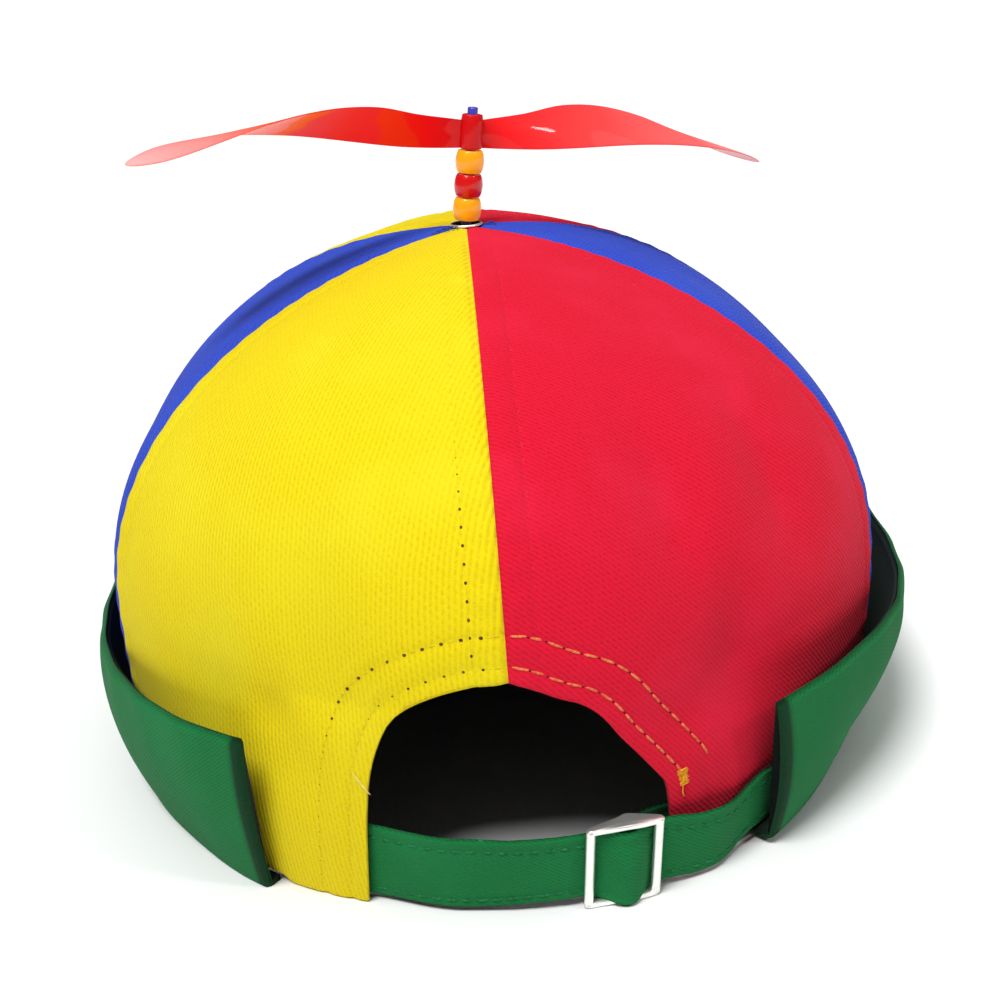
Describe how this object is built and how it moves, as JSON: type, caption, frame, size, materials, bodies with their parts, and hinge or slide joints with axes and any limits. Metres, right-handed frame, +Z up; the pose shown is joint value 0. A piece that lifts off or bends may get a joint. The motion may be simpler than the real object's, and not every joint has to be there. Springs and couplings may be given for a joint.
{
  "type": "propeller beanie",
  "caption": "Brimless cloth cap in coloured panels, with a turned-up cuff, a back arch with a strap and slide, and a plastic propeller that spins above beads on a pin.",
  "frame": {"origin": "under the middle of the whole beanie, on the surface that its rim rests on", "axes": "+Z up out of the crown; +Y the way the wearer looks, so the back arch, strap and slide face -Y; +X to the wearer's right"},
  "size_m": [0.192, 0.2176, 0.1478],
  "materials": {
    "yellow_twill": "matt cotton twill",
    "red_twill": "matt cotton twill",
    "blue_twill": "matt cotton twill",
    "green_twill": "matt cotton twill",
    "plated_steel": "bright nickel plate",
    "orange_plastic": "gloss",
    "red_plastic": "gloss, slightly see-through",
    "blue_plastic": "satin gloss"
  },
  "bodies": {
    "hat": {"panel_front_left": "yellow_twill", "panel_side_left": "blue_twill", "panel_back_left": "yellow_twill", "panel_back_right": "red_twill", "panel_side_right": "blue_twill", "panel_front_right": "red_twill", "cuff": "green_twill", "strap": "green_twill", "strap_tab": "green_twill", "slide": "plated_steel", "eyelet": "plated_steel", "pin": "blue_plastic"},
    "propeller": {"propeller": "red_plastic"},
    "bead_bottom": {"bead_bottom": "orange_plastic"},
    "bead_middle": {"bead_middle": "red_plastic"},
    "bead_top": {"bead_top": "orange_plastic"}
  },
  "joints": [
    {"name": "propeller_spin", "type": "hinge", "parent": "hat", "child": "propeller", "pos_m": [0.00144, -0.00257, 0.13837], "axis": [0.1288, 0, 0.9917], "continuous": true},
    {"name": "bead_bottom_turn", "type": "hinge", "parent": "hat", "child": "bead_bottom", "pos_m": [-0.00083, -0.00257, 0.12084], "axis": [0.1288, 0, 0.9917], "continuous": true},
    {"name": "bead_middle_turn", "type": "hinge", "parent": "hat", "child": "bead_middle", "pos_m": [-0.00013, -0.00257, 0.12625], "axis": [0.1288, 0, 0.9917], "continuous": true},
    {"name": "bead_top_turn", "type": "hinge", "parent": "hat", "child": "bead_top", "pos_m": [0.00057, -0.00257, 0.13165], "axis": [0.1288, 0, 0.9917], "continuous": true}
  ]
}
